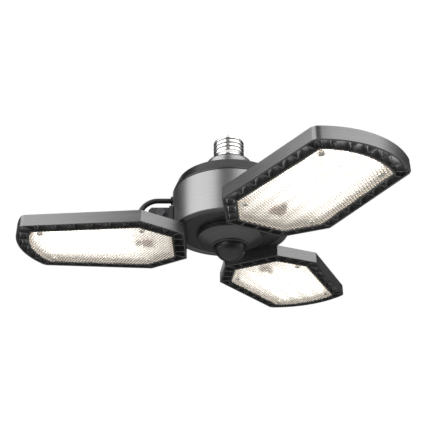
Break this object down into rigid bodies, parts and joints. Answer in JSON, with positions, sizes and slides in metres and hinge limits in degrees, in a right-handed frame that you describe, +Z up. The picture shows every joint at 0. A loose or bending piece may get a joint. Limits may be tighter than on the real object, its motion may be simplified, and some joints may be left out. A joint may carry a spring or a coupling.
{
  "type": "led high bay bulb",
  "caption": "Screw-in garage and high bay lamp: a drum with a motion sensor below and flat, hinged light panels around it that fold up.",
  "frame": {"origin": "centre of the screw shell's lower rim, where the cap meets the collar", "axes": "+Z up along the cap, towards its contact; the first panel points along -X"},
  "size_m": [0.2741, 0.3046, 0.114],
  "materials": {
    "cap_metal": "nickel-plated brass, bright",
    "cap_ceramic": "white moulded insulator, matt",
    "collar_metal": "cast aluminium, satin grey paint",
    "cover_paint": "spun aluminium, satin dark grey paint",
    "drum_paint": "aluminium, satin grey paint",
    "plate_paint": "aluminium, satin near-black paint",
    "sensor_plastic": "fine moulded texture",
    "bezel_plastic": "semi-gloss",
    "dome_plastic": "dark translucent",
    "board_green": "solder mask",
    "board_white": "white solder mask",
    "ferrite": "ferrite and yellow tape",
    "part_black": "moulded part",
    "zinc_steel": "zinc plated",
    "black_steel": "blackened",
    "lead_insulation": "smooth insulation",
    "black_rubber": "matt",
    "bracket_paint": "cast aluminium, satin dark grey paint",
    "panel_paint": "cast aluminium, satin dark grey powder coat",
    "led_phosphor": "phosphor, lit",
    "lens_plastic": "clear prismatic plastic",
    "seal_rubber": "matt",
    "connector_plastic": "red-brown moulding"
  },
  "bodies": {
    "housing": {"screw_shell": "cap_metal", "cap_insulator": "cap_ceramic", "centre_contact": "cap_metal", "cap_collar": "collar_metal", "upper_cover": "cover_paint", "drum_housing": "drum_paint", "bottom_plate": "plate_paint", "sensor_cap": "sensor_plastic", "sensor_bezel": "bezel_plastic", "sensor_dome": "dome_plastic", "sensor_board": "board_green", "sensor_element": "cap_metal", "driver_board": "board_green", "driver_transformer": "ferrite", "driver_capacitors": "part_black", "driver_parts": "part_black", "driver_pillars": "zinc_steel", "plate_screws": "zinc_steel", "inner_leads": "lead_insulation", "cable_grommets": "black_rubber", "pivot_bolts": "black_steel", "pivot_nuts": "black_steel", "pivot_washers": "black_steel", "hinge_bracket_1": "bracket_paint", "hinge_bracket_2": "bracket_paint", "hinge_bracket_3": "bracket_paint", "panel_cable_1": "black_rubber", "panel_cable_2": "black_rubber", "panel_cable_3": "black_rubber"},
    "panel_1": {"panel_frame_1": "panel_paint", "led_board_1": "board_white", "leds_1": "led_phosphor", "lens_cover_1": "lens_plastic", "lens_gasket_1": "seal_rubber", "lens_screws_1": "zinc_steel", "hinge_knuckle_1": "bracket_paint", "knuckle_screws_1": "zinc_steel", "cable_gland_1": "black_rubber", "lead_connector_1": "connector_plastic"},
    "panel_2": {"panel_frame_2": "panel_paint", "led_board_2": "board_white", "leds_2": "led_phosphor", "lens_cover_2": "lens_plastic", "lens_gasket_2": "seal_rubber", "lens_screws_2": "zinc_steel", "hinge_knuckle_2": "bracket_paint", "knuckle_screws_2": "zinc_steel", "cable_gland_2": "black_rubber", "lead_connector_2": "connector_plastic"},
    "panel_3": {"panel_frame_3": "panel_paint", "led_board_3": "board_white", "leds_3": "led_phosphor", "lens_cover_3": "lens_plastic", "lens_gasket_3": "seal_rubber", "lens_screws_3": "zinc_steel", "hinge_knuckle_3": "bracket_paint", "knuckle_screws_3": "zinc_steel", "cable_gland_3": "black_rubber", "lead_connector_3": "connector_plastic"}
  },
  "joints": [
    {"name": "panel_1_hinge", "type": "hinge", "parent": "housing", "child": "panel_1", "pos_m": [-0.0544, 0, -0.0535], "axis": [0, 1, 0], "range_deg": [0, 90], "deforming": ["panel_cable_1"]},
    {"name": "panel_2_hinge", "type": "hinge", "parent": "housing", "child": "panel_2", "pos_m": [0.0272, -0.04711, -0.0535], "axis": [-0.866, -0.5, 0], "range_deg": [0, 90], "deforming": ["panel_cable_2"]},
    {"name": "panel_3_hinge", "type": "hinge", "parent": "housing", "child": "panel_3", "pos_m": [0.0272, 0.04711, -0.0535], "axis": [0.866, -0.5, 0], "range_deg": [0, 90], "deforming": ["panel_cable_3"]}
  ]
}
